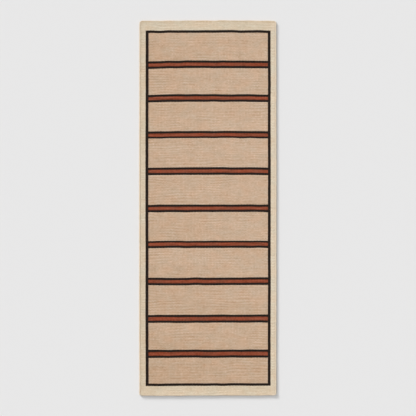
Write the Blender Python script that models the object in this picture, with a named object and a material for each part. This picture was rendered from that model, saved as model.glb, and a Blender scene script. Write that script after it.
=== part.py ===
"""A hand-woven flatweave runner rug, laid flat, face up.

Length runs along Y with the head end at +Y, width along X, and the underside lies on z = 0.
The origin is at the bottom centre. Every size is in metres.

The rug is weft-faced: cords of warp run its whole length, and each area of coloured wool is a
sleeve of weft woven round the warps that pass through it. Next to the selvedges and at both ends
the wool is cream. Inside it, a black line frames ten plain fields, parted by nine rust bands with
a black line on each side.
"""

import math

import bmesh
import bpy

# Overall sizes
WIDTH = 0.760
LENGTH = 2.077

# Widths of the coloured areas
SIDE_BORDER = 0.0335  # cream, with the selvedge
END_BORDER = 0.054
SIDE_LINE = 0.016  # black frame, along the length
END_LINE = 0.014  # black frame, across the ends

# Rows of weft inside the frame, head to foot: each field's, and each band's in its upper black
# line, its rust and its lower black line
FIELD_PICKS = (62, 58, 65, 65, 66, 64, 66, 66, 60, 57)
BAND_PICKS = (
    (5, 7, 5),
    (5, 7, 5),
    (5, 7, 4),
    (5, 7, 5),
    (5, 7, 5),
    (4, 7, 5),
    (5, 7, 5),
    (5, 8, 5),
    (5, 8, 5),
)

# The cloth's layers
WEFT_LAYER = 0.0032  # wool on each face, over and under the warps
WARP_DIAMETER = 0.0020
WARP_PITCH = 0.008
WARP_JOINT = 0.0008  # height where neighbouring warp cords press together
WEFT_TURN = 0.0020  # wool that turns back round the outermost warp of an area

# Selvedges
SELVEDGE_DIAMETER = 0.009
SELVEDGE_CORE = 0.004
SELVEDGE_END_ROUNDING = 0.0018
SELVEDGE_END_INSET = 0.0015  # from the rug's end to the cord's

# End hems, on the underside
END_ROUNDING = 0.003
END_TURN = 0.003  # wool past the warps' cut ends
HEM_INSET = 0.004  # from the rug's end to the hem's recess
HEM_MARGIN = 0.004  # recess left free on each side of the tape
TAPE_WIDTH = 0.032
TAPE_THICKNESS = 0.0010
TAPE_END_INSET = 0.004
THREAD_DIAMETER = 0.0005
STITCH_PITCH = 0.020
STITCH_REACH = 0.003  # to each side of the tape's edge

# Blank label, sewn on the tape at the foot end
LABEL_WIDTH = 0.050
LABEL_HEIGHT = 0.022
LABEL_THICKNESS = 0.0004
LABEL_INSET = 0.030  # from the border's side

CLEARANCE = 0.0003  # between pieces that touch

# Number of flat sides or steps of the round shapes
CORD_SIDES = 16
ROUNDING_STEPS = 3
MOST_ROUNDING = 0.8  # of the wall that carries it
WARP_STEPS = 4
SHARP_ANGLE = math.radians(40)  # edges sharper than this stay sharp on round pieces

CUTTER_OVERRUN = 0.005  # past the face that a cutter goes in through

# Derived sizes
SLIT_HEIGHT = WARP_DIAMETER + 2 * CLEARANCE
THICKNESS = 2 * WEFT_LAYER + SLIT_HEIGHT
CLOTH_HALF = WIDTH / 2 - SELVEDGE_DIAMETER - CLEARANCE / 2
FRAME_HALF = WIDTH / 2 - SIDE_BORDER
CENTRE_HALF = FRAME_HALF - SIDE_LINE
FRAME_END = LENGTH / 2 - END_BORDER
CENTRE_END = FRAME_END - END_LINE
RECESS_WIDTH = TAPE_WIDTH + 2 * HEM_MARGIN
RECESS_DEPTH = THREAD_DIAMETER + TAPE_THICKNESS + 2 * CLEARANCE
TAPE_Y = LENGTH / 2 - HEM_INSET - RECESS_WIDTH / 2
TAPE_HALF = CLOTH_HALF - TAPE_END_INSET

# Linear colours
CREAM = (0.672, 0.558, 0.407)
BEIGE = (0.578, 0.407, 0.283)
RUST = (0.292, 0.080, 0.042)
BLACK = (0.021, 0.015, 0.013)
COTTON = (0.730, 0.658, 0.515)
LABEL_WHITE = (0.800, 0.780, 0.720)

WOOL_ROUGHNESS = 0.95
COTTON_ROUGHNESS = 0.85


def clear_scene():
    for old in list(bpy.data.objects):
        bpy.data.objects.remove(old, do_unlink=True)


def add_material(obj, colour, roughness):
    material = bpy.data.materials.new(f"{obj.name}_material")
    material.use_nodes = True
    shader = material.node_tree.nodes["Principled BSDF"]
    shader.inputs["Base Color"].default_value = (*colour, 1.0)
    shader.inputs["Roughness"].default_value = roughness
    shader.inputs["Metallic"].default_value = 0.0
    material.diffuse_color = (*colour, 1.0)
    obj.data.materials.append(material)


def add_object(name, data, location, parent):
    obj = bpy.data.objects.new(name, data)
    obj.location = location
    obj.parent = parent
    bpy.context.scene.collection.objects.link(obj)
    return obj


def mesh_from(name, shape):
    """A mesh with the bmesh's shape, its faces turned outwards."""
    bmesh.ops.recalc_face_normals(shape, faces=shape.faces)
    if shape.calc_volume(signed=True) < 0:
        bmesh.ops.reverse_faces(shape, faces=shape.faces)
    mesh = bpy.data.meshes.new(name)
    shape.to_mesh(mesh)
    shape.free()
    return mesh


def box_shape(size_x, size_y, size_z):
    """A box that stands on z = 0, centred on the Z axis."""
    shape = bmesh.new()
    bmesh.ops.create_cube(shape, size=1.0)
    bmesh.ops.scale(shape, vec=(size_x, size_y, size_z), verts=shape.verts)
    bmesh.ops.translate(shape, vec=(0.0, 0.0, size_z / 2), verts=shape.verts)
    return shape


def add_box(name, size, location, parent):
    return add_object(name, mesh_from(name, box_shape(*size)), location, parent)


def cut(obj, name, size, location):
    """Cuts a box out of obj. The cutter is a hidden helper in the frame of obj's parent."""
    cutter = add_box(f"cutter_{name}", size, location, obj.parent)
    cutter.hide_render = True
    cutter.display_type = "WIRE"
    boolean = obj.modifiers.new(name, "BOOLEAN")
    boolean.operation = "DIFFERENCE"
    boolean.solver = "EXACT"
    boolean.object = cutter


def slit_width(width):
    """Width of the slit for the warps in an area of cloth this wide between its two turns."""
    return width - 2 * WEFT_TURN


def rectangle(half_width, low, high):
    return [(-half_width, low), (half_width, low), (half_width, high), (-half_width, high)]


def add_sleeve(name, x_range, y_range, parent):
    """An area of weft: a slab with a slit along Y, through which its warps pass."""
    width = x_range[1] - x_range[0] - CLEARANCE
    depth = y_range[1] - y_range[0] - CLEARANCE
    outer = rectangle(width / 2, 0.0, THICKNESS)
    slit = rectangle(slit_width(width) / 2, WEFT_LAYER, THICKNESS - WEFT_LAYER)
    shape = bmesh.new()
    rings = [
        [shape.verts.new((x, y, z)) for x, z in outline]
        for y in (-depth / 2, depth / 2)
        for outline in (outer, slit)
    ]
    near_outer, near_slit, far_outer, far_slit = rings
    walls = (
        (near_outer, far_outer),
        (far_slit, near_slit),
        (near_slit, near_outer),
        (far_outer, far_slit),
    )
    for first, second in walls:
        for corner in range(4):
            after = (corner + 1) % 4
            shape.faces.new((first[corner], first[after], second[after], second[corner]))
    centre = (sum(x_range) / 2, sum(y_range) / 2, 0.0)
    return add_object(name, mesh_from(name, shape), centre, parent)


def add_end_border(name, end, parent):
    """The cream weft of one end, closed round the warps' cut ends, recessed below for its hem."""
    width = 2 * CLOTH_HALF - CLEARANCE
    inner = FRAME_END + CLEARANCE / 2
    depth = LENGTH / 2 - inner
    shape = box_shape(width, depth, THICKNESS)
    outer_edges = [
        edge
        for edge in shape.edges
        if all(end * vert.co.y > 0 for vert in edge.verts) and edge.verts[0].co.z == edge.verts[1].co.z
    ]
    bmesh.ops.bevel(
        shape,
        geom=outer_edges,
        offset=END_ROUNDING,
        segments=ROUNDING_STEPS,
        profile=0.5,
        affect="EDGES",
    )
    border = add_object(name, mesh_from(name, shape), (0.0, end * (inner + depth / 2), 0.0), parent)

    pocket_end = LENGTH / 2 - END_TURN
    pocket_start = inner - CUTTER_OVERRUN
    cut(
        border,
        f"{name}_pocket",
        (slit_width(width), pocket_end - pocket_start, SLIT_HEIGHT),
        (0.0, end * (pocket_start + pocket_end) / 2, WEFT_LAYER),
    )
    cut(
        border,
        f"{name}_recess",
        (WIDTH, RECESS_WIDTH, RECESS_DEPTH + CUTTER_OVERRUN),
        (0.0, end * TAPE_Y, -CUTTER_OVERRUN),
    )
    return border


def add_warps(name, x_range, parent):
    """Warp cords side by side, pressed together into one flat ribbed ribbon, from hem to hem."""
    area = x_range[1] - x_range[0] - CLEARANCE
    width = slit_width(area) - 2 * CLEARANCE
    half_length = LENGTH / 2 - END_TURN - CLEARANCE
    cords = max(1, round(width / WARP_PITCH))
    steps = cords * WARP_STEPS
    shape = bmesh.new()
    columns = []
    for step in range(steps + 1):
        x = width * (step / steps - 0.5)
        swell = abs(math.sin(math.pi * step / WARP_STEPS))
        half_height = (WARP_JOINT + (WARP_DIAMETER - WARP_JOINT) * swell) / 2
        columns.append([
            shape.verts.new((x, end * half_length, side * half_height))
            for end, side in ((-1, -1), (-1, 1), (1, 1), (1, -1))
        ])
    for left, right in zip(columns, columns[1:]):
        for corner in range(4):
            after = (corner + 1) % 4
            shape.faces.new((left[corner], left[after], right[after], right[corner]))
    shape.faces.new(columns[0])
    shape.faces.new(columns[-1])
    centre = (sum(x_range) / 2, 0.0, THICKNESS / 2)
    return add_object(name, mesh_from(name, shape), centre, parent)


def turned_shape(profile):
    """A closed outline of (radius, y) points, turned round the Y axis."""
    shape = bmesh.new()
    rings = []
    for side in range(CORD_SIDES):
        angle = 2 * math.pi * side / CORD_SIDES
        rings.append([
            shape.verts.new((radius * math.cos(angle), y, radius * math.sin(angle)))
            for radius, y in profile
        ])
    for side, ring in enumerate(rings):
        following = rings[(side + 1) % CORD_SIDES]
        for point in range(len(profile)):
            after = (point + 1) % len(profile)
            shape.faces.new((ring[point], ring[after], following[after], following[point]))
    return shape


def selvedge_end():
    return LENGTH / 2 - SELVEDGE_END_INSET


def add_selvedge_wrap(name, side, parent):
    """Wool overcast round the edge cord: a tube with rounded ends."""
    bore = SELVEDGE_CORE / 2 + CLEARANCE
    radius = SELVEDGE_DIAMETER / 2
    rounding = min(SELVEDGE_END_ROUNDING, MOST_ROUNDING * (radius - bore))
    rounded = []
    for step in range(ROUNDING_STEPS + 1):
        angle = math.pi / 2 * step / ROUNDING_STEPS
        rounded.append((
            radius - rounding * (1 - math.sin(angle)),
            selvedge_end() - rounding * (1 - math.cos(angle)),
        ))
    half = [(bore, selvedge_end()), *rounded]
    profile = half + [(r, -y) for r, y in reversed(half)]
    shape = turned_shape(profile)
    mesh = mesh_from(name, shape)
    location = (side * (WIDTH / 2 - radius), 0.0, radius)
    wrap = add_object(name, mesh, location, parent)
    mesh.shade_smooth()
    mesh.set_sharp_from_angle(angle=SHARP_ANGLE)
    return wrap


def add_selvedge_core(name, side, parent):
    """The cotton cord inside a selvedge."""
    shape = bmesh.new()
    bmesh.ops.create_cone(
        shape,
        cap_ends=True,
        segments=CORD_SIDES,
        radius1=SELVEDGE_CORE / 2,
        radius2=SELVEDGE_CORE / 2,
        depth=2 * selvedge_end() - 2 * CLEARANCE,
    )
    mesh = mesh_from(name, shape)
    radius = SELVEDGE_DIAMETER / 2
    core = add_object(name, mesh, (side * (WIDTH / 2 - radius), 0.0, radius), parent)
    core.rotation_euler = (math.pi / 2, 0.0, 0.0)
    mesh.shade_smooth()
    mesh.set_sharp_from_angle(angle=SHARP_ANGLE)
    return core


def add_hem_tape(name, end, parent):
    """Cotton tape over the turned-under end."""
    bottom = RECESS_DEPTH - CLEARANCE - TAPE_THICKNESS
    size = (2 * TAPE_HALF, TAPE_WIDTH, TAPE_THICKNESS)
    return add_box(name, size, (0.0, end * TAPE_Y, bottom), parent)


def add_hem_stitching(name, end, parent):
    """One thread that zigzags along the tape's inner edge, then back along its outer edge."""
    count = max(2, int(2 * TAPE_HALF / STITCH_PITCH)) * 2
    points = []
    for row in (-1, 1):
        edge = row * TAPE_WIDTH / 2
        for stitch in range(count + 1):
            x = row * TAPE_HALF * (2 * stitch / count - 1)
            reach = STITCH_REACH if stitch % 2 else -STITCH_REACH
            points.append((x, edge + row * reach, THREAD_DIAMETER / 2))
    curve = bpy.data.curves.new(name, "CURVE")
    curve.dimensions = "3D"
    curve.bevel_depth = THREAD_DIAMETER / 2
    curve.bevel_resolution = 0
    curve.use_fill_caps = True
    spline = curve.splines.new("POLY")
    spline.points.add(len(points) - 1)
    for point, place in zip(spline.points, points):
        point.co = (*place, 1.0)
    stitching = add_object(name, curve, (0.0, end * TAPE_Y, 0.0), parent)
    if end < 0:
        stitching.rotation_euler = (0.0, 0.0, math.pi)
    return stitching


def add_label(name, parent):
    """A blank cloth label, on the foot end's tape."""
    x = -CLOTH_HALF + LABEL_INSET + LABEL_WIDTH / 2
    bottom = THREAD_DIAMETER - LABEL_THICKNESS
    size = (LABEL_WIDTH, LABEL_HEIGHT, LABEL_THICKNESS)
    return add_box(name, size, (x, -TAPE_Y, bottom), parent)


def add_wool(name, x_range, y_range, colour, parent):
    add_material(add_sleeve(name, x_range, y_range, parent), colour, WOOL_ROUGHNESS)


def add_ladder(parent):
    """The ten fields and the nine striped bands between them, from the head down."""
    areas = []
    for number, picks in enumerate(FIELD_PICKS, start=1):
        areas.append((f"field_{number:02d}", picks, BEIGE))
        if number <= len(BAND_PICKS):
            upper, rust, lower = BAND_PICKS[number - 1]
            areas.append((f"black_line_{number}_upper", upper, BLACK))
            areas.append((f"rust_band_{number}", rust, RUST))
            areas.append((f"black_line_{number}_lower", lower, BLACK))
    pick = 2 * CENTRE_END / sum(picks for name, picks, colour in areas)
    top = CENTRE_END
    for name, picks, colour in areas:
        bottom = top - picks * pick
        add_wool(name, (-CENTRE_HALF, CENTRE_HALF), (bottom, top), colour, parent)
        top = bottom


def add_frame(parent):
    """The black frame: the end lines take in its corners."""
    across = (-FRAME_HALF, FRAME_HALF)
    between = (-CENTRE_END, CENTRE_END)
    add_wool("frame_line_head", across, (CENTRE_END, FRAME_END), BLACK, parent)
    add_wool("frame_line_foot", across, (-FRAME_END, -CENTRE_END), BLACK, parent)
    add_wool("frame_line_left", (-FRAME_HALF, -CENTRE_HALF), between, BLACK, parent)
    add_wool("frame_line_right", (CENTRE_HALF, FRAME_HALF), between, BLACK, parent)


def add_borders(parent):
    between = (-FRAME_END, FRAME_END)
    add_wool("border_left", (-CLOTH_HALF, -FRAME_HALF), between, CREAM, parent)
    add_wool("border_right", (FRAME_HALF, CLOTH_HALF), between, CREAM, parent)
    for name, end in (("border_head", 1), ("border_foot", -1)):
        add_material(add_end_border(name, end, parent), CREAM, WOOL_ROUGHNESS)


def add_all_warps(parent):
    """One ribbon of warps for each column of areas that turn back at their own edges."""
    columns = (
        ("warps_border_left", (-CLOTH_HALF, -FRAME_HALF)),
        ("warps_frame_left", (-FRAME_HALF, -CENTRE_HALF)),
        ("warps_centre", (-CENTRE_HALF, CENTRE_HALF)),
        ("warps_frame_right", (CENTRE_HALF, FRAME_HALF)),
        ("warps_border_right", (FRAME_HALF, CLOTH_HALF)),
    )
    for name, x_range in columns:
        add_material(add_warps(name, x_range, parent), COTTON, COTTON_ROUGHNESS)


def add_selvedges(parent):
    for side_name, side in (("left", -1), ("right", 1)):
        wrap = add_selvedge_wrap(f"selvedge_wrap_{side_name}", side, parent)
        add_material(wrap, CREAM, WOOL_ROUGHNESS)
        core = add_selvedge_core(f"selvedge_core_{side_name}", side, parent)
        add_material(core, COTTON, COTTON_ROUGHNESS)


def add_hems(parent):
    for end_name, end in (("head", 1), ("foot", -1)):
        tape = add_hem_tape(f"hem_tape_{end_name}", end, parent)
        add_material(tape, COTTON, COTTON_ROUGHNESS)
        stitching = add_hem_stitching(f"hem_stitching_{end_name}", end, parent)
        add_material(stitching, COTTON, COTTON_ROUGHNESS)
    add_material(add_label("sewn_label", parent), LABEL_WHITE, COTTON_ROUGHNESS)


def main():
    clear_scene()
    rug = add_object("runner_rug", None, (0.0, 0.0, 0.0), None)
    add_all_warps(rug)
    add_ladder(rug)
    add_frame(rug)
    add_borders(rug)
    add_selvedges(rug)
    add_hems(rug)


main()
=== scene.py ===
import math

import bpy
import numpy as np
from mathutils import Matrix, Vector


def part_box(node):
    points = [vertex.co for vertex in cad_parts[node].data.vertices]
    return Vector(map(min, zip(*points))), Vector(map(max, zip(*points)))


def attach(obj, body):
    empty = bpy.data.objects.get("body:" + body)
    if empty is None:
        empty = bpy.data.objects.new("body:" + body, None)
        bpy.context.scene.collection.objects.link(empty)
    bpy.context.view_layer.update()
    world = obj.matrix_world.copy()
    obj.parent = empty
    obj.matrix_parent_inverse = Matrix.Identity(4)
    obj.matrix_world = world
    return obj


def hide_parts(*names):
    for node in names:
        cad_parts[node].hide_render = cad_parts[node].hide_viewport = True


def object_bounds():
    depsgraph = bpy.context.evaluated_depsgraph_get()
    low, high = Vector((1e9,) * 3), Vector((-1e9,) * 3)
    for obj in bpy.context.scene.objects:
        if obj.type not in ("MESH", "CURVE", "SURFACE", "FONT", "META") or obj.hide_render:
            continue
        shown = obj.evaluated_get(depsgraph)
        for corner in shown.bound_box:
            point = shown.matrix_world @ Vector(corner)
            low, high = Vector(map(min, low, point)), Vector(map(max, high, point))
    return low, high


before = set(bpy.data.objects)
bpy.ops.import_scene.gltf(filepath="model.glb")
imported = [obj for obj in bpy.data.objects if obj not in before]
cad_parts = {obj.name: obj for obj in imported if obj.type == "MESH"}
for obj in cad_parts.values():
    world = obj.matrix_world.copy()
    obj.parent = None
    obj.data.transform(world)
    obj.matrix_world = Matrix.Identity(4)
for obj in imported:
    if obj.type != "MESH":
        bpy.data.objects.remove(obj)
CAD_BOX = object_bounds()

# --- The rug's places, from the CAD ------------------------------------------

BODY = "root"
GAP = 0.0003  # between CAD nodes that touch
FLOOR_NAME = "floor"

HALF_WIDTH, HALF_LENGTH, THICKNESS = CAD_BOX[1]

TAPE_LOW, TAPE_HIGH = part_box("hem_tape_head")
CLOTH_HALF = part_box("border_head")[1].x + GAP / 2  # to the outer edges of the side borders
FRAME_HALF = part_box("frame_line_head")[1].x + GAP / 2  # to those of the side frame lines
CENTRE_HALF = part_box("field_01")[1].x + GAP / 2  # to those of the fields

# --- Weave -------------------------------------------------------------------

PICK = 0.00248  # one row of weft, which shows on every second warp cord as a bead two picks long
STEPS_ALONG = 3  # rows of the mesh in one pick
STEPS_ACROSS = 4  # columns of the mesh in one warp cord
WARP_PITCH = 0.008

# Warp cords from one long side to the other, in the groups that turn back separately
GROUP_EDGES = np.array(
    [-CLOTH_HALF, -FRAME_HALF, -CENTRE_HALF, CENTRE_HALF, FRAME_HALF, CLOTH_HALF]
)
GROUP_CORDS = np.maximum(1, np.round(np.diff(GROUP_EDGES) / WARP_PITCH)).astype(int)
CORDS_BEFORE = np.concatenate([[0], np.cumsum(GROUP_CORDS)])

BEAD_HALF_ACROSS = 0.64  # of a cord
BEAD_HALF_ALONG = 0.57  # of a bead
RELIEF = 0.0011  # of the beads on top, and of those underneath
UNDER_RELIEF = 0.0008
BEAD_VARIES = 0.20  # of the relief
SLUB = 0.25  # of the relief, thick and thin places along the yarn
SLUB_RUN = 0.03
SLUB_ROW = 0.77  # below 1, so that a slub also reaches into the next row
BEAD_COLUMNS, BEAD_ROWS = 64, 1024  # the beads' own values repeat after these
WANDER = 0.9  # picks that a row strays along the rug, in a wide area
WANDER_PICKS = 24  # a narrower area strays less
WANDER_RUN = (0.11, 0.05)
EDGE_ZIGZAG = 0.30  # of the zigzag, where an area's first and last rows are packed straight
PACKED = 2.0  # picks that the packing reaches

# --- Hand-woven irregularity of the whole rug ---------------------------------

BOW = 0.0042  # how far a row's ends fall back, where that is most
BOW_SKEW = 0.30  # more on the left than on the right
BOW_FROM, BOW_TO = -0.40, 0.55  # of the half length: where the bow starts, and where it is full
BOW_EASED = 0.45  # how much of it the head end's own binding takes out again
BOW_EASED_FROM = 0.80
CENTRE_SHIFT = 0.0028  # the inside of the rug lies a little to the right of its outline
CENTRE_SHIFT_POWER = 8
TILT = 0.0012  # rows rise to the right by this much at the foot, and less towards the head
PINCH = 0.0011  # how far each side is drawn in at the rug's ends
ROW_WAVE = 0.0006  # long waves of the rows, and short jogs
ROW_JAG = 0.0013
SIDE_WAVE = 0.0008  # the same of the long sides
SIDE_JAG = 0.0005
EDGE_RIPPLE = 0.0010  # height of the ripples along the edges
RIPPLE_REACH = 0.060
FOOT_LIFT = 0.0022  # how far the foot end and the right side stand off the floor
RIGHT_LIFT = 0.0008
CORNER_REACH = 0.10
CORNER_LIFTS = {(-1, 1): 0.0016, (1, 1): 0.0010, (-1, -1): 0.0008, (1, -1): 0.0004}
CORNER_PULL = 0.0022  # how far a corner is drawn in, which rounds it
CORNER_PULL_REACH = 0.018

# How far each of these runs across and along the rug before it changes
ROW_WAVE_RUN = (0.14, 0.30)
ROW_JAG_RUN = (0.050, 0.06)
SIDE_WAVE_RUN = (0.45, 0.16)
SIDE_JAG_RUN = (0.05, 0.011)
EDGE_RIPPLE_RUN = (0.21, 0.17)

NOISE_TABLE = 256  # values each way before the noise repeats; a power of two
NOISE_START = (128.37, 128.61)


def smooth_noise(seed, a, b):
    """Smooth random heights from -1 to 1 over a plane, one to each unit square of it."""
    last = NOISE_TABLE - 1
    table = np.random.default_rng(seed).uniform(-1.0, 1.0, (NOISE_TABLE, NOISE_TABLE))
    a = np.asarray(a, float) + NOISE_START[0]
    b = np.asarray(b, float) + NOISE_START[1]
    i = np.floor(a).astype(int)
    j = np.floor(b).astype(int)
    s = a - i
    t = b - j
    s = s * s * (3 - 2 * s)
    t = t * t * (3 - 2 * t)
    left, right = i & last, (i + 1) & last
    foot, head = j & last, (j + 1) & last
    low = table[left, foot] * (1 - s) + table[right, foot] * s
    high = table[left, head] * (1 - s) + table[right, head] * s
    return low * (1 - t) + high * t


def drift(seed, u, v, run):
    """Smooth random heights over the rug. Seeds below 100 are the whole rug's."""
    return smooth_noise(seed, u / run[0], v / run[1])


def lift(u, v):
    """How far the laid rug stands off the floor, along its edges and at its corners."""
    inside = np.minimum(HALF_WIDTH - np.abs(u), HALF_LENGTH - np.abs(v))
    near = np.clip(1 - inside / RIPPLE_REACH, 0, 1) ** 2
    up = EDGE_RIPPLE * near * np.clip(drift(11, u, v, EDGE_RIPPLE_RUN), 0, 1)
    up = up + FOOT_LIFT * np.clip(1 - (v + HALF_LENGTH) / RIPPLE_REACH, 0, 1) ** 2
    up = up + RIGHT_LIFT * np.clip(1 - (HALF_WIDTH - u) / RIPPLE_REACH, 0, 1) ** 2
    for (side, end), height in CORNER_LIFTS.items():
        away = np.hypot(u - side * HALF_WIDTH, v - end * HALF_LENGTH)
        up = up + height * np.clip(1 - away / CORNER_REACH, 0, 1) ** 2
    return up


def eased(value, start, end):
    """0 before start, 1 after end, and a smooth step between them."""
    t = np.clip((value - start) / (end - start), 0, 1)
    return t * t * (3 - 2 * t)


def lay(u, v, height):
    """Where a point of the flat, straight cloth ends up in the hand-woven rug as it lies."""
    u = np.asarray(u, float)
    v = np.asarray(v, float)
    across = u / HALF_WIDTH
    along = v / HALF_LENGTH
    bow = BOW * (1 - BOW_SKEW * across) * across**2 * eased(along, BOW_FROM, BOW_TO)
    bow = bow * (1 - BOW_EASED * eased(along, BOW_EASED_FROM, 1.0))
    tilt = TILT * across * (1 - along) / 2
    x = u - PINCH * across * along**4 + CENTRE_SHIFT * (1 - across**CENTRE_SHIFT_POWER)
    x = x + SIDE_WAVE * drift(21, u, v, SIDE_WAVE_RUN)
    x = x + SIDE_JAG * drift(22, u, v, SIDE_JAG_RUN) * np.clip(across**2, 0, 1)
    y = v - bow + tilt + ROW_WAVE * drift(23, u, v, ROW_WAVE_RUN)
    y = y + ROW_JAG * drift(24, u, v, ROW_JAG_RUN)
    corner = np.hypot(HALF_WIDTH - np.abs(u), HALF_LENGTH - np.abs(v))
    pull = CORNER_PULL * np.clip(1 - corner / CORNER_PULL_REACH, 0, 1) ** 2
    return np.stack([x - pull * np.sign(u), y - pull * np.sign(v), height + lift(u, v)], axis=-1)


def cord_at(u):
    return np.interp(u, GROUP_EDGES, CORDS_BEFORE)


def place_of_cord(number):
    """Where a cord lies across the rug; cord_at gives its number."""
    return np.interp(number, CORDS_BEFORE, GROUP_EDGES)


# --- Meshes --------------------------------------------------------------------


def make_piece(name, points, face_groups, places=None, values=None, sharp=60.0):
    """A mesh object. face_groups holds one array of faces for each number of corners."""
    mesh = bpy.data.meshes.new(name)
    corners = np.concatenate([faces.ravel() for faces in face_groups])
    counts = np.concatenate([np.full(len(f), f.shape[1]) for f in face_groups])
    starts = np.concatenate([[0], np.cumsum(counts)[:-1]])
    mesh.vertices.add(len(points))
    mesh.vertices.foreach_set("co", np.asarray(points, np.float32).ravel())
    mesh.loops.add(len(corners))
    mesh.loops.foreach_set("vertex_index", corners.astype(np.int32))
    mesh.polygons.add(len(counts))
    mesh.polygons.foreach_set("loop_start", starts.astype(np.int32))
    mesh.polygons.foreach_set("use_smooth", np.ones(len(counts), bool))
    if places is not None:
        layer = mesh.uv_layers.new(name="OFBake")
        layer.uv.foreach_set("vector", np.asarray(places, np.float32).ravel())
    for key, value in (values or {}).items():
        attribute = mesh.attributes.new(key, "FLOAT", "POINT")
        attribute.data.foreach_set("value", np.asarray(value, np.float32).ravel())
    mesh.update(calc_edges=True)
    mesh.set_sharp_from_angle(angle=math.radians(sharp))
    piece = bpy.data.objects.new(name, mesh)
    bpy.context.scene.collection.objects.link(piece)
    return piece


def grid_faces(rows, columns):
    """The quads of a grid of points numbered row by row, seen from above."""
    i, j = np.meshgrid(np.arange(rows - 1), np.arange(columns - 1), indexing="ij")
    a = (i * columns + j).ravel()
    return np.stack([a, a + 1, a + 1 + columns, a + columns], axis=-1)


def rim_of(rows, columns):
    """The points round a grid's edge, anticlockwise from above, one array to each side."""
    grid = np.arange(rows * columns).reshape(rows, columns)
    return [grid[0, :], grid[:, -1], grid[-1, ::-1], grid[::-1, 0]]


EVERY_SECOND = (slice(None, None, 2), slice(None, None, 2))

# Places on a slab's map: a wide strip for each face, and a thin one for each side of its rim
MAP_SPAN = (0.01, 0.99)
TOP_STRIP = (0.53, 0.99)
UNDER_STRIP = (0.06, 0.50)
RIM_STRIP_START = 0.004
RIM_STRIP_STEP = 0.012
RIM_STRIP_HEIGHT = 0.008


def slab(name, top, under, values_top, values_under, long_along):
    """A closed cloth between a fine grid on top and one of every second point underneath.

    long_along says that its long way runs along the rug, which turns its map.
    """
    rows, columns = top.shape[:2]
    low_rows, low_columns = under.shape[:2]
    count = rows * columns
    top_faces = grid_faces(rows, columns)
    under_faces = grid_faces(low_rows, low_columns)[:, ::-1] + count
    rims = []
    for upper, lower in zip(rim_of(rows, columns), rim_of(low_rows, low_columns)):
        lower = lower + count
        rims.append(
            np.stack(
                [lower[:-1], lower[1:], upper[2::2], upper[1:-1:2], upper[:-2:2]], axis=-1
            )
        )
    rim_faces = np.concatenate(rims)

    def flat_places(grid_rows, grid_columns, strip):
        if long_along:
            t, s = np.meshgrid(
                np.linspace(*strip, grid_columns), np.linspace(*MAP_SPAN, grid_rows)
            )
        else:
            s, t = np.meshgrid(
                np.linspace(*MAP_SPAN, grid_columns), np.linspace(*strip, grid_rows)
            )
        return np.stack([s, t], axis=-1).reshape(-1, 2)

    spots = np.concatenate(
        [flat_places(rows, columns, TOP_STRIP), flat_places(low_rows, low_columns, UNDER_STRIP)]
    )
    rim_places = []
    for side, faces in enumerate(rims):
        s = np.linspace(*MAP_SPAN, len(faces) + 1)
        near, far = s[:-1], s[1:]
        low = np.full(len(faces), RIM_STRIP_START + RIM_STRIP_STEP * side)
        high = low + RIM_STRIP_HEIGHT
        corners = [(near, low), (far, low), (far, high), ((near + far) / 2, high), (near, high)]
        rim_places.append(np.stack([np.stack(corner, -1) for corner in corners], axis=1))
    places = np.concatenate(
        [spots[top_faces].reshape(-1, 2), spots[under_faces].reshape(-1, 2)]
        + [p.reshape(-1, 2) for p in rim_places]
    )
    points = np.concatenate([top.reshape(-1, 3), under.reshape(-1, 3)])
    values = {
        key: np.concatenate([values_top[key].ravel(), values_under[key].ravel()])
        for key in values_top
    }
    return make_piece(
        name, points, [np.concatenate([top_faces, under_faces]), rim_faces], places, values
    )


# --- Woven areas -----------------------------------------------------------------

# Brightness of the yarn, and of the painted shade along the rug's edges, in shares of it
TREND_ACROSS = 0.052  # lighter to the right
TREND_ALONG = 0.035  # lighter towards the head
TREND_MIDDLE = 0.060  # lighter halfway along
TREND_MIDDLE_MEAN = 0.3  # about keeps the rug's mean brightness
EDGE_FADE = 0.030  # a little darker along the left frame line
EDGE_FADE_REACH = 0.030
PALE_RIGHT = 0.130  # paler outside the right frame line
CREAM_TREND = 0.4  # the cream wool's share of these slow changes
STREAK_TONE = 0.072  # from one row of yarn to the next
STREAK_RUN = 0.036  # along a row before this changes
THICK_TONE = 0.040  # the same over two rows
THICK_RUN = 0.018
BEAD_TONE = 0.048
PATCH_TONE = 0.026
PATCH_RUN = (0.07, 0.03)
SHADE_TONE = 0.035  # slow changes of dye from one stretch to the next
SHADE_RUN = (0.5, 0.035)
CORD_TONE = 0.030
CORD_TONE_RUN = 0.05
PAINTED_EDGE_SHADE = {"head": 0.40, "foot": 0.06, "left": 0.28, "right": 0.0}  # painted shade along the rug's outer edges, heaviest at the head end and the left side, none on the right
PAINTED_EDGE_SHADE_REACH = 0.0035
BAND_EDGE_REACH = 0.0030

# Fine ribs, which come and go: along the rows, and more faintly along the cords
RIB_TONE = 0.105
RIB = 0.0150  # from one rib to the next
RIB_BEND = 0.45  # of a rib
RIB_BEND_RUN = (0.10, 0.045)
RIB_SHOWN = 0.5  # how strongly a rib shows on average
RIB_SHOWN_RUN = (0.075, 0.045)
CORD_RIB_TONE = 0.020
CORD_RIB = 0.0165
CORD_RIB_BEND = 0.5
CORD_RIB_BEND_RUN = (0.08, 0.06)
CORD_RIB_SHOWN = 0.35
CORD_RIB_SHOWN_RUN = (0.06, 0.05)
SHOWN_VARIES = 0.9
SHOWN_MOST = 1.2


def bead_height(across, along):
    """Height of a lens-shaped bead of yarn, from its middle at 0, 0, in cords and in beads."""
    inside = 1 - (across / BEAD_HALF_ACROSS) ** 2 - (along / BEAD_HALF_ALONG) ** 2
    return np.sqrt(np.clip(inside, 0, None))


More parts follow.
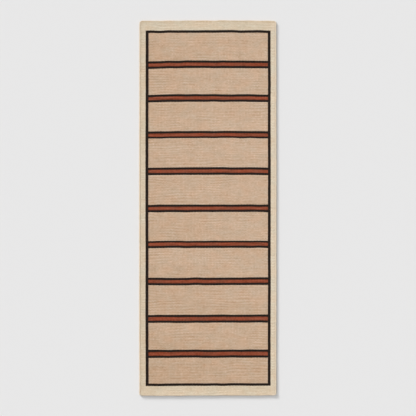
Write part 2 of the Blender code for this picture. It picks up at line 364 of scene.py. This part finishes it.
def trends(u, v):
    """Slow changes of brightness over the whole rug."""
    along = v / HALF_LENGTH
    slow = TREND_ALONG * along + TREND_MIDDLE * (TREND_MIDDLE_MEAN - along**2)
    slow = slow + TREND_ACROSS * u / (2 * HALF_WIDTH) + PALE_RIGHT * (u > FRAME_HALF)
    return slow - EDGE_FADE * np.exp(-np.abs(u + CENTRE_HALF) / EDGE_FADE_REACH)


def ribs(u, v):
    """Brightness from the fine ribs."""
    turn = 2 * math.pi * (v / RIB + RIB_BEND * drift(31, u, v, RIB_BEND_RUN))
    shown = RIB_SHOWN + SHOWN_VARIES * drift(32, u, v, RIB_SHOWN_RUN)
    tone = RIB_TONE * np.cos(turn) * np.clip(shown, 0, SHOWN_MOST)
    turn = 2 * math.pi * (u / CORD_RIB + CORD_RIB_BEND * drift(35, u, v, CORD_RIB_BEND_RUN))
    shown = CORD_RIB_SHOWN + SHOWN_VARIES * drift(36, u, v, CORD_RIB_SHOWN_RUN)
    return tone + CORD_RIB_TONE * np.cos(turn) * np.clip(shown, 0, SHOWN_MOST)


def relief_and_tone(cord, pick, picks, u, v, seed, sign):
    """The weave's height from 0 to 1, and its yarn's brightness around 0, on a grid of points."""
    edge = np.sin(math.pi * np.clip(pick / picks, 0, 1)) ** 0.5
    wander = WANDER * min(1.0, picks / WANDER_PICKS)
    pick = pick + wander * edge * drift(seed, u, v, WANDER_RUN)
    column = np.floor(cord).astype(int)
    place = cord - column - 0.5
    phase = 0.5 * sign * np.where(column % 2 == 1, -1.0, 1.0)
    own_bead = (pick - phase) / 2
    other_bead = (pick + phase) / 2
    own = bead_height(place, own_bead - np.floor(own_bead) - 0.5)
    other = bead_height(1 - np.abs(place), other_bead - np.floor(other_bead) - 0.5)
    crown = np.maximum(own, other)
    own_wins = own >= other
    row = np.where(
        own_wins,
        2 * np.floor(own_bead) + (phase > 0),
        2 * np.floor(other_bead) + (phase < 0),
    ).astype(int)
    shown_column = np.where(own_wins, column, column + np.where(place > 0, 1, -1))
    beads = np.random.default_rng(seed + 1).normal(0.0, 1.0, (BEAD_COLUMNS, BEAD_ROWS))
    each = beads[shown_column % BEAD_COLUMNS, row % BEAD_ROWS]
    slub = smooth_noise(seed + 2, u / SLUB_RUN, row * SLUB_ROW)
    height = crown * (1 + BEAD_VARIES * 0.5 * np.clip(each, -2, 2) + SLUB * slub)
    tone = STREAK_TONE * smooth_noise(seed + 3, u / STREAK_RUN, row)
    tone = tone + THICK_TONE * smooth_noise(seed + 4, u / THICK_RUN, row / 2)
    tone = tone + BEAD_TONE * each
    tone = tone + SHADE_TONE * drift(seed + 5, u, v, SHADE_RUN)
    tone = tone + PATCH_TONE * drift(34, u, v, PATCH_RUN) + ribs(u, v)
    tone = tone + CORD_TONE * smooth_noise(33, shown_column, v / CORD_TONE_RUN)
    return crown, height, tone


END_ROUNDING = 0.0025  # the radius of the rug's ends
END_STRAIGHT = 0.012  # the zigzag fades this far from the rug's ends
END_ZIGZAG = 0.2  # what is left of it there


def end_drop(v, radius):
    """How far the cloth's face falls away where it rounds over the rug's ends."""
    into = np.clip(HALF_LENGTH - np.abs(v), 0, radius)
    return radius - np.sqrt(np.clip(radius**2 - (radius - into) ** 2, 0, None))


# The hollow over each hem tape
HEM_ROOM = 0.004
HEM_SLOPE = 0.0015
RECESS_MIDDLE = (TAPE_LOW.y + TAPE_HIGH.y) / 2
RECESS_HALF = (TAPE_HIGH.y - TAPE_LOW.y) / 2 + HEM_ROOM
RECESS_DEPTH = TAPE_HIGH.z + GAP


def under_height(v, hemmed):
    """How far the cloth's underside stands up over a hem tape."""
    if not hemmed:
        return np.zeros_like(v)
    away = np.abs(np.abs(v) - RECESS_MIDDLE)
    return RECESS_DEPTH * np.clip((RECESS_HALF + HEM_SLOPE - away) / HEM_SLOPE, 0, 1)


def woven(name, node, seed, picks, sign, hemmed, unevenness, trend, edge_shade):
    """One area of weft as a closed, rippled cloth in place of its CAD solid.

    Its columns lie half a pick high or low in turn, less so where its first and last rows are
    packed straight. sign says which columns start high at the foot end. unevenness and trend are
    shares of the yarn's and the rug's changes of brightness, and edge_shade darkens the first and
    last rows.
    """
    low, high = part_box(node)
    left, right = low.x - GAP / 2, high.x + GAP / 2
    foot, head = max(low.y - GAP / 2, -HALF_LENGTH), min(high.y + GAP / 2, HALF_LENGTH)
    first, last = round(float(cord_at(left))), round(float(cord_at(right)))
    columns = (last - first) * STEPS_ACROSS + 1
    rows = 2 * round(picks * STEPS_ALONG / 2) + 1
    cord, pick = np.meshgrid(np.linspace(first, last, columns), np.linspace(0, picks, rows))
    u = place_of_cord(cord)
    v = foot + (head - foot) * pick / picks
    between = np.isclose(cord, np.round(cord))
    turn = np.where(between, 0.0, np.where(np.floor(cord) % 2 == 1, -1.0, 1.0))
    end_sign = sign * (-1) ** picks
    zigzag = 0.5 * turn * (sign + (end_sign - sign) * pick / picks)
    inner = np.clip((HALF_LENGTH - np.abs(v)) / END_STRAIGHT, END_ZIGZAG, 1)
    rows_in = np.minimum(pick, picks - pick)
    free = 1 - (1 - EDGE_ZIGZAG) * np.exp(-rows_in / PACKED)
    v_laid = v + zigzag * inner * free * PICK

    shown_cord = np.clip(cord, first + 1e-6, last - 1e-6)
    crown, height, tone = relief_and_tone(shown_cord, pick + zigzag, picks, u, v, seed, sign)
    near_edge = np.exp(-rows_in * PICK / BAND_EDGE_REACH)
    painted_shade_near_ends = np.exp(-(HALF_LENGTH - np.abs(v)) / PAINTED_EDGE_SHADE_REACH)
    tone = unevenness * tone + trend * trends(u, v) - edge_shade * near_edge
    # Painted shade along the rug's head and foot ends
    tone = tone - np.where(v > 0, PAINTED_EDGE_SHADE["head"], PAINTED_EDGE_SHADE["foot"]) * painted_shade_near_ends
    top = lay(u, v_laid, THICKNESS - end_drop(v, END_ROUNDING) - RELIEF * (1 - height))

    rise = end_drop(v, END_ROUNDING) + under_height(v, hemmed)
    under = lay(u, v_laid, rise + UNDER_RELIEF * np.clip(1 - height, 0, 1))[EVERY_SECOND]
    values = {"crown": crown, "tone": tone}
    low_values = {key: value[EVERY_SECOND] for key, value in values.items()}
    piece = slab(name, top, under, values, low_values, head - foot > right - left)
    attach(piece, BODY)
    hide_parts(node)
    return piece


# --- Materials ---------------------------------------------------------------------

PAINTED_VALLEY_SHADE = 0.57  # how bright the gaps between the rows are, against the yarn's crown: painted shade in the valleys
CROWN_FULL = 0.75  # the height from which the yarn is as bright as its crown
TONE_TINT = (0.70, 0.97, 1.33)  # lighter yarn is greyer too, and darker yarn is browner
DYE_SCALE = (13.0, 19.0, 13.0)
DYE_EDGES = (0.35, 0.65)  # of the noise: where the dye is all warm, and where it is all cool
FIBRE_SCALE = (160.0, 1300.0, 1300.0)  # fibres run along the rows
HEATHER = 0.35
TWIST_SCALE = (1.0, 0.55, 1.0)
TWIST_HEIGHT = 0.5  # against that of the fibres
WOOL_ROUGHNESS = (0.86, 1.0)
COTTON_PATCH_SCALE = (30.0, 30.0, 30.0)
COTTON_PATCHES = 0.12


def add_node(tree, kind, inputs=None, **settings):
    made = tree.nodes.new(kind)
    for key, value in settings.items():
        setattr(made, key, value)
    for key, value in (inputs or {}).items():
        if isinstance(value, bpy.types.NodeSocket):
            tree.links.new(value, made.inputs[key])
        else:
            made.inputs[key].default_value = value
    return made


def new_material(name):
    material = bpy.data.materials.new(name)
    material.use_nodes = True
    tree = material.node_tree
    shader = tree.nodes["Principled BSDF"]
    return material, tree, shader


def math_node(tree, operation, first, second):
    return add_node(tree, "ShaderNodeMath", {0: first, 1: second}, operation=operation).outputs[0]


def scaled(tree, colour, factor):
    return add_node(
        tree, "ShaderNodeVectorMath", {0: colour, "Scale": factor}, operation="SCALE"
    ).outputs[0]


def vector_node(tree, operation, first, second):
    return add_node(
        tree, "ShaderNodeVectorMath", {0: first, 1: second}, operation=operation
    ).outputs[0]


def stretched(tree, scale):
    places = add_node(tree, "ShaderNodeTexCoord").outputs["Object"]
    return add_node(tree, "ShaderNodeMapping", {"Vector": places, "Scale": scale}).outputs[0]


def noise(tree, scale, detail=2.0):
    """Noise from 0 to 1 in the piece's own places; scale is a triple."""
    return add_node(
        tree,
        "ShaderNodeTexNoise",
        {"Vector": stretched(tree, scale), "Scale": 1.0, "Detail": detail, "Roughness": 0.55},
    ).outputs[0]


def ranged(tree, value, low, high, new_low, new_high):
    """The value from low to high stretched to new_low to new_high, and held there beyond."""
    names = ("Value", "From Min", "From Max", "To Min", "To Max")
    return add_node(
        tree, "ShaderNodeMapRange", dict(zip(names, (value, low, high, new_low, new_high)))
    ).outputs[0]


def around_one(tree, value, spread):
    """1 plus or minus a share of the noise around its middle."""
    return ranged(tree, value, 0.0, 1.0, 1 - spread / 2, 1 + spread / 2)


def bumped(tree, shader, height, strength, distance):
    bump = add_node(
        tree, "ShaderNodeBump", {"Height": height, "Strength": strength, "Distance": distance}
    )
    tree.links.new(bump.outputs[0], shader.inputs["Normal"])


def wool(name, colour, hue, sheen):
    """Handspun wool: uneven dye, heathered fibres, plied twist, and painted shade in the gaps
    between rows.
    """
    material, tree, shader = new_material(name)
    warm = tuple(c * k for c, k in zip(colour, (1 + hue, 1 - hue / 4, 1 - hue)))
    cool = tuple(c * k for c, k in zip(colour, (1 - hue, 1 + hue / 4, 1 + hue)))
    dyed = add_node(tree, "ShaderNodeValToRGB", {"Fac": noise(tree, DYE_SCALE, detail=3.0)})
    for stop, place, dye in zip(dyed.color_ramp.elements, DYE_EDGES, (warm, cool)):
        stop.position = place
        stop.color = (*dye, 1.0)

    # The tone attribute holds the yarn's own tone, and the painted shade along the rug's edges
    tone = add_node(tree, "ShaderNodeAttribute", attribute_name="tone").outputs["Fac"]
    crown = add_node(tree, "ShaderNodeAttribute", attribute_name="crown").outputs["Fac"]
    fibres = noise(tree, FIBRE_SCALE)
    tinted = vector_node(tree, "ADD", scaled(tree, TONE_TINT, tone), (1.0, 1.0, 1.0))
    toned = vector_node(tree, "MULTIPLY", dyed.outputs[0], tinted)
    # Painted shade: darker where the yarn's crown is low, in the gaps between rows and turns
    painted_valley_factor = ranged(tree, crown, 0.0, CROWN_FULL, PAINTED_VALLEY_SHADE, 1.0)
    factor = math_node(tree, "MULTIPLY", painted_valley_factor, around_one(tree, fibres, HEATHER))
    tree.links.new(scaled(tree, toned, factor), shader.inputs["Base Color"])

    twist = add_node(
        tree,
        "ShaderNodeTexWave",
        {
            "Vector": stretched(tree, TWIST_SCALE),
            "Scale": 120.0,
            "Distortion": 2.0,
            "Detail": 2.0,
            "Detail Scale": 2.0,
        },
        bands_direction="DIAGONAL",
    ).outputs["Fac"]
    surface = math_node(tree, "ADD", math_node(tree, "MULTIPLY", twist, TWIST_HEIGHT), fibres)
    bumped(tree, shader, surface, strength=0.35, distance=0.0004)
    rough = ranged(tree, fibres, 0.0, 1.0, *WOOL_ROUGHNESS)
    tree.links.new(rough, shader.inputs["Roughness"])
    shader.inputs["Specular IOR Level"].default_value = 0.15
    shader.inputs["Sheen Weight"].default_value = sheen
    shader.inputs["Sheen Roughness"].default_value = 0.6
    return material


def cotton(name, colour, fine=1500.0, contrast=0.25):
    """Undyed cotton: a fine, tight twist with little colour variation."""
    material, tree, shader = new_material(name)
    threads = noise(tree, (fine, fine * 0.3, fine))
    patches = around_one(tree, noise(tree, COTTON_PATCH_SCALE), COTTON_PATCHES)
    factor = math_node(tree, "MULTIPLY", around_one(tree, threads, contrast), patches)
    plain = add_node(tree, "ShaderNodeRGB")
    plain.outputs[0].default_value = (*colour, 1.0)
    tree.links.new(scaled(tree, plain.outputs[0], factor), shader.inputs["Base Color"])
    bumped(tree, shader, threads, strength=0.4, distance=0.0003)
    shader.inputs["Roughness"].default_value = 0.85
    shader.inputs["Specular IOR Level"].default_value = 0.25
    return material


CREAM = wool("cream_wool_look", (0.694, 0.573, 0.422), hue=0.025, sheen=0.12)
BEIGE = wool("beige_wool_look", (0.592, 0.417, 0.287), hue=0.029, sheen=0.12)
RUST = wool("rust_wool_look", (0.274, 0.067, 0.031), hue=0.080, sheen=0.06)
BLACK = wool("black_wool_look", (0.0180, 0.0113, 0.0084), hue=0.050, sheen=0.02)
COTTON = cotton("warp_cotton_look", (0.730, 0.658, 0.515))
TAPE = cotton("hem_tape_look", (0.740, 0.680, 0.560), fine=900.0)
THREAD = cotton("hem_thread_look", (0.640, 0.560, 0.430), fine=2500.0, contrast=0.35)
LABEL = cotton("label_cloth_look", (0.800, 0.780, 0.720), fine=2200.0, contrast=0.10)


def wear(piece, material):
    piece.data.materials.clear()
    piece.data.materials.append(material)
    return piece


# --- Weft --------------------------------------------------------------------------

SIDES = ("left", "right")
ENDS = ("head", "foot")
FIELD_COUNT = sum(1 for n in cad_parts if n.startswith("field_"))
BAND_COUNT = sum(1 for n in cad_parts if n.startswith("rust_band_"))

# Each kind of area: its look, its slot, and its unevenness, trend and edge_shade for woven()
KINDS = {
    "field": (BEIGE, "beige_wool", 1.0, 1.0, -0.035),
    "rust": (RUST, "rust_wool", 2.0, 1.0, 0.24),
    "black": (BLACK, "black_wool", 1.0, 1.0, 0.0),
    "frame": (BLACK, "black_wool", 2.0, 1.0, 0.0),
    "border": (CREAM, "cream_wool", 0.75, CREAM_TREND, 0.0),
}


def weave_area(node, seed, picks, sign):
    """Weaves the area in its colour and returns the sign at its head end."""
    look, slot, unevenness, trend, edge_shade = KINDS[node.split("_")[0]]
    hemmed = node in ("border_head", "border_foot")
    piece = woven(
        node + "_weave", node, seed, picks, sign, hemmed, unevenness, trend, edge_shade
    )
    wear(piece, look)
    return sign * (-1) ** picks


def picks_in(node):
    low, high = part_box(node)
    return max(1, round((high.y - low.y + GAP) / PICK))


ladder = []
for number in range(FIELD_COUNT, 0, -1):
    if number <= BAND_COUNT:
        ladder.append(f"black_line_{number}_lower")
        ladder.append(f"rust_band_{number}")
        ladder.append(f"black_line_{number}_upper")
    ladder.append(f"field_{number:02d}")
stack = ["border_foot", "frame_line_foot", *ladder, "frame_line_head", "border_head"]
ladder_picks = sum(picks_in(node) for node in ladder)
frame_picks = ladder_picks + picks_in("frame_line_foot") + picks_in("frame_line_head")

# Seeds of the first area from the foot, of the first side area and of the first selvedge
STACK_SEED, SIDE_SEED, WRAP_SEED = 100, 600, 700

sign = 1
signs = {}
for index, node in enumerate(stack):
    signs[node] = sign
    sign = weave_area(node, STACK_SEED + 10 * index, picks_in(node), sign)
for index, side in enumerate(SIDES):
    seed = SIDE_SEED + 20 * index
    weave_area(f"frame_line_{side}", seed, ladder_picks, signs[ladder[0]])
    weave_area(f"border_{side}", seed + 10, frame_picks, signs["frame_line_foot"])

# --- Tubes: warps, selvedges, threads --------------------------------------------------

PLY_GROOVE = 0.10  # of the radius
TUBE_SHARP = 80.0  # degrees


def tube(rings):
    """Points and faces of closed tubes, with a fan at each end.

    rings holds the points by tube, ring and side.
    """
    tubes, count, sides = rings.shape[:3]
    middles = np.stack([rings[:, 0].mean(1), rings[:, -1].mean(1)], axis=1)
    points = np.concatenate([rings.reshape(tubes, -1, 3), middles], axis=1)
    i, j = np.meshgrid(np.arange(count - 1), np.arange(sides), indexing="ij")
    after = (j + 1) % sides
    quads = np.stack(
        [i * sides + j, i * sides + after, (i + 1) * sides + after, (i + 1) * sides + j], -1
    ).reshape(-1, 4)
    j = np.arange(sides)
    after = (j + 1) % sides
    first = np.full(sides, count * sides)
    near = np.stack([first, after, j], -1)
    far_ring = (count - 1) * sides
    far = np.stack([first + 1, far_ring + j, far_ring + after], -1)
    fans = np.concatenate([near, far])
    step = points.shape[1]
    offset = (np.arange(tubes) * step)[:, None, None]
    return (
        points.reshape(-1, 3),
        [(quads[None] + offset).reshape(-1, 4), (fans[None] + offset).reshape(-1, 3)],
    )


def straight_cords(name, node, centres, sides, rings, ply):
    """Plied cords along the rug, laid with it, in place of a CAD solid."""
    low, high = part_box(node)
    radius = (high.z - low.z) / 2
    v = np.linspace(low.y, high.y, rings)[None, :, None]
    angle = (2 * math.pi * np.arange(sides) / sides)[None, None, :]
    centre = np.asarray(centres)[:, None, None]
    groove = 0.5 + 0.5 * np.cos(2 * (angle - 2 * math.pi * v / ply))
    size = radius * (1 - PLY_GROOVE * groove)
    # The sides go round so that the faces look outwards
    u = centre + size * np.cos(angle)
    z = (low.z + high.z) / 2 - size * np.sin(angle)
    piece = make_piece(name, *tube(lay(u, v + 0 * u, z)), sharp=TUBE_SHARP)
    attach(piece, BODY)
    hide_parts(node)
    return piece


def cord_places(node):
    low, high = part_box(node)
    first, last = round(float(cord_at(low.x))), round(float(cord_at(high.x)))
    return place_of_cord(np.arange(first, last) + 0.5)


WARP_GROUPS = ("border_left", "frame_left", "centre", "frame_right", "border_right")
for group in WARP_GROUPS:
    node = f"warps_{group}"
    piece = straight_cords(node + "_cords", node, cord_places(node), sides=6, rings=200, ply=0.08)
    wear(piece, COTTON)

WRAP_PITCH = 0.0048
WRAP_STEPS = 8  # rings of the mesh in one turn of yarn
WRAP_SIDES = 18
WRAP_STRAY = 0.35  # turns that the yarn strays from an even pitch
WRAP_STRAY_RUN = 0.03
WRAP_ROUND = 0.96  # 1 would cut the turns of yarn down to a sharp line between them
WRAP_GROOVE = 0.14  # of the radius
WRAP_VARIES = 0.035
WRAP_TURNS = 1024  # the turns' own values repeat after this
WRAP_WIDEST = 1.03
WRAP_TONE = 0.03
WRAP_SQUARE = 4.5  # 2 is a round section
TIP = 0.0040
TIP_LEAST = 0.02


def overcast(name, node, seed, painted_wrap_shade):
    """A selvedge overcast with yarn: turns of wool side by side round the cord."""
    low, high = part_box(node)
    radius = (high.z - low.z) / 2
    rings = round((high.y - low.y) / WRAP_PITCH * WRAP_STEPS)
    v = np.linspace(low.y, high.y, rings)[None, :, None]
    angle = (2 * math.pi * np.arange(WRAP_SIDES) / WRAP_SIDES)[None, None, :]
    stray = WRAP_STRAY * smooth_noise(seed, v / WRAP_STRAY_RUN, 0 * v)
    turns = v / WRAP_PITCH + angle / (2 * math.pi) + stray
    number = np.floor(turns).astype(int)
    place = 2 * (turns - number) - 1
    crown = np.sqrt(np.clip(1 - WRAP_ROUND * place**2, 0, 1))
    each = np.random.default_rng(seed + 1).normal(0.0, 1.0, WRAP_TURNS)[number % WRAP_TURNS]
    tip = np.clip((high.y - np.abs(v)) / TIP, 0, 1)
    tip = np.sqrt(np.clip(1 - (1 - tip) ** 2, TIP_LEAST, 1))
    size = radius * (1 - WRAP_GROOVE * (1 - crown)) * (1 + WRAP_VARIES * np.clip(each, -2, 2))
    powers = np.abs(np.cos(angle)) ** WRAP_SQUARE + np.abs(np.sin(angle)) ** WRAP_SQUARE
    size = np.minimum(size * tip, radius * WRAP_WIDEST) * powers ** (-1 / WRAP_SQUARE)
    u = (low.x + high.x) / 2 + size * np.cos(angle)
    z = (low.z + high.z) / 2 - size * np.sin(angle)
    z = np.maximum(z, 0.0)
    outward = np.clip(np.cos(angle) * math.copysign(1.0, low.x), 0, 1)
    # Painted shade on the wrap's outward side
    tone = WRAP_TONE * each - painted_wrap_shade * outward**2 + CREAM_TREND * trends(u, v)
    points, faces = tube(lay(u, v + 0 * u, z))
    values = {
        "crown": np.append(crown + 0 * u, [1.0, 1.0]),
        "tone": np.append(tone + 0 * u, [0.0, 0.0]),
    }
    piece = make_piece(name, points, faces, values=values, sharp=TUBE_SHARP)
    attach(piece, BODY)
    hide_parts(node)
    return piece


for index, side in enumerate(SIDES):
    node = f"selvedge_wrap_{side}"
    piece = overcast(node + "_yarn", node, WRAP_SEED + 10 * index, PAINTED_EDGE_SHADE[side])
    wear(piece, CREAM)
    node = f"selvedge_core_{side}"
    low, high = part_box(node)
    middle = (low.x + high.x) / 2
    piece = straight_cords(node + "_cord", node, [middle], sides=12, rings=420, ply=0.03)
    wear(piece, COTTON)

# --- Hems --------------------------------------------------------------------------

TWILL_TURN = 16  # columns of the tape's herringbone before it turns back
STITCH_PITCH = 0.0080
STITCH_SLANT = 0.0030
STITCH_REACH = 0.0022  # to each side of the tape's edge
STITCH_SINK = 0.0007  # how far a stitch's two ends go into the cloth
STITCH_SIDES = 8
STITCH_RINGS = 9
STITCH_TIP = 0.05  # keeps a stitch's tips from closing to a point


def thin_cloth(name, node, step, relief):
    """A thin woven cloth with a fine ribbed face, in place of its CAD solid."""
    low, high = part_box(node)
    columns = 2 * round((high.x - low.x) / step / 2) + 1
    rows = 2 * round((high.y - low.y) / (step / 2) / 2) + 1
    u, v = np.meshgrid(np.linspace(low.x, high.x, columns), np.linspace(low.y, high.y, rows))
    i, j = np.meshgrid(np.arange(rows), np.arange(columns), indexing="ij")
    herringbone = np.abs(((i + np.abs(j % TWILL_TURN - TWILL_TURN / 2)) % 4) - 2) / 2
    sunk = relief * herringbone
    top = lay(u, v, high.z - sunk)
    under = lay(u, v, low.z + sunk)[EVERY_SECOND]
    piece = slab(name, top, under, {}, {}, False)
    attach(piece, BODY)
    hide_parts(node)
    return piece


def whip_stitches(name, node, tape_low, tape_high):
    """Slanted stitches over both long edges of a hem tape, one mesh."""
    low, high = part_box(node)
    radius = (high.z - low.z) / 2
    count = round((tape_high.x - tape_low.x) / STITCH_PITCH)
    start = tape_low.x + STITCH_PITCH / 2 + STITCH_PITCH * np.arange(count)
    s = np.linspace(-1, 1, STITCH_RINGS)
    angle = 2 * math.pi * np.arange(STITCH_SIDES) / STITCH_SIDES
    size = radius * np.sqrt(np.clip(1 - np.abs(s) ** 8, STITCH_TIP, 1))[None, :, None]
    rings = []
    for edge, outward in ((tape_low.y, -1.0), (tape_high.y, 1.0)):
        centre_u = start[:, None] + STITCH_SLANT * s[None, :] / 2
        centre_v = edge + outward * STITCH_REACH * s[None, :] + 0 * centre_u
        centre_z = low.z + radius + STITCH_SINK * (np.abs(s) ** 4)[None, :] + 0 * centre_u
        slope = np.array([STITCH_SLANT / 2, outward * STITCH_REACH])
        slope = slope / np.hypot(*slope)
        aside = np.array([slope[1], -slope[0]])
        u = centre_u[:, :, None] + aside[0] * size * np.cos(angle)
        v = centre_v[:, :, None] + aside[1] * size * np.cos(angle)
        z = centre_z[:, :, None] - size * np.sin(angle)
        rings.append(lay(u, v, z))
    piece = make_piece(name, *tube(np.concatenate(rings)), sharp=TUBE_SHARP)
    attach(piece, BODY)
    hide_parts(node)
    return piece


for end in ENDS:
    node = f"hem_tape_{end}"
    piece = thin_cloth(node + "_twill", node, step=0.0020, relief=0.00012)
    wear(piece, TAPE)
    tape_low, tape_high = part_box(node)
    node = f"hem_stitching_{end}"
    piece = whip_stitches(node + "_stitches", node, tape_low, tape_high)
    wear(piece, THREAD)
piece = thin_cloth("sewn_label_blank", "sewn_label", step=0.0010, relief=0.00004)
wear(piece, LABEL)

# --- The sheets' node names; these loops only run through them ------------------------


for number in range(1, FIELD_COUNT + 1):
    node = f"field_{number:02d}"
for end in ENDS:
    node = f"border_{end}"
for side in SIDES:
    node = f"border_{side}"

# --- Floor, light and camera -------------------------------------------------------------

FLOOR_HALF = 60.0
FLOOR_DROP = 0.0002  # the floor's face stays off the rug's underside
FLOOR_COLOUR = (0.800, 0.798, 0.798)

floor_points = FLOOR_HALF * np.array([[-1, -1, 0], [1, -1, 0], [1, 1, 0], [-1, 1, 0]])
floor_points[:, 2] = -FLOOR_DROP
floor = make_piece(FLOOR_NAME, floor_points, [np.array([[0, 1, 2, 3]])])
floor_look, _, floor_shader = new_material("floor_look")
floor_shader.inputs["Base Color"].default_value = (*FLOOR_COLOUR, 1.0)
floor_shader.inputs["Roughness"].default_value = 1.0
floor_shader.inputs["Specular IOR Level"].default_value = 0.0
floor.data.materials.append(floor_look)

scene = bpy.context.scene
scene.view_settings.view_transform = "Standard"

# Shares of the light that falls on the floor; with the horizon's own they add up to about 1
WORLD_SHARE = 0.37
KEY_SHARE = 0.34
FILL_SHARE = 0.28

# The world is as pale as the floor near the horizon, so that the two meet unseen
HORIZON = 0.80
HORIZON_TOP, SKY_FROM = 0.08, 0.30  # sines of their elevations

world = bpy.data.worlds.new("studio")
world.use_nodes = True
sky = world.node_tree
direction = add_node(sky, "ShaderNodeTexCoord").outputs["Generated"]
rise = add_node(sky, "ShaderNodeSeparateXYZ", {0: direction}).outputs["Z"]
strength = ranged(sky, rise, HORIZON_TOP, SKY_FROM, HORIZON, WORLD_SHARE)
sky.nodes["Background"].inputs["Color"].default_value = (1.0, 1.0, 1.0, 1.0)
sky.links.new(strength, sky.nodes["Background"].inputs["Strength"])
scene.world = world


def add_sun(name, azimuth, elevation, share, angle):
    """A distant light.

    azimuth is where it comes from, anticlockwise from +X, and share is of the floor's light.
    """
    data = bpy.data.lights.new(name, "SUN")
    data.energy = share * math.pi / math.sin(math.radians(elevation))
    data.angle = math.radians(angle)
    lamp = bpy.data.objects.new(name, data)
    lamp.rotation_euler = (
        math.radians(90 - elevation),
        0.0,
        math.radians(azimuth + 90),
    )
    scene.collection.objects.link(lamp)


add_sun("key_light", 128.0, 22.5, KEY_SHARE, 16.0)
add_sun("fill_light", 128.0, 72.0, FILL_SHARE, 80.0)

VIEW_SIDE = 2.3025  # how much of the floor the picture's side takes in
LENS = 100.0
SENSOR = 36.0
AIM = (0.0009, 0.0003)  # the picture's middle

camera_data = bpy.data.cameras.new("camera")
camera_data.lens = LENS
camera_data.sensor_width = SENSOR
camera_data.clip_end = 200.0
camera = bpy.data.objects.new("camera", camera_data)
distance = VIEW_SIDE * LENS / SENSOR
camera.location = (AIM[0], AIM[1], THICKNESS + distance)
scene.collection.objects.link(camera)
scene.camera = camera
